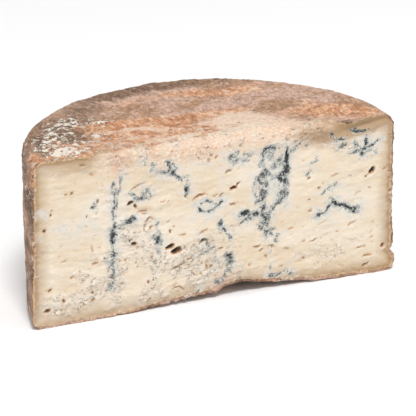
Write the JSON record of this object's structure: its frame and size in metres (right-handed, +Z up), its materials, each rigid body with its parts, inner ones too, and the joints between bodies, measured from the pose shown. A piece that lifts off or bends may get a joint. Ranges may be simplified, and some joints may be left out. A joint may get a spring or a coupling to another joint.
{
  "type": "blue cheese half wheel",
  "caption": "Half of a round blue cheese, cut straight down through its axis, with a flat base, a flat cut face and a thin rind all round.",
  "frame": {"origin": "on the base plane, at the middle of the half wheel's footprint", "axes": "+Z up; X along the cut face, which looks towards -Y; the round side looks towards +Y"},
  "size_m": [0.3, 0.15, 0.133],
  "materials": {
    "cheese": "soft cream cut paste with blue veins, and a dry, rough brown and orange rind"
  },
  "bodies": {
    "root": {"cheese_half_wheel": "cheese"}
  },
  "joints": []
}
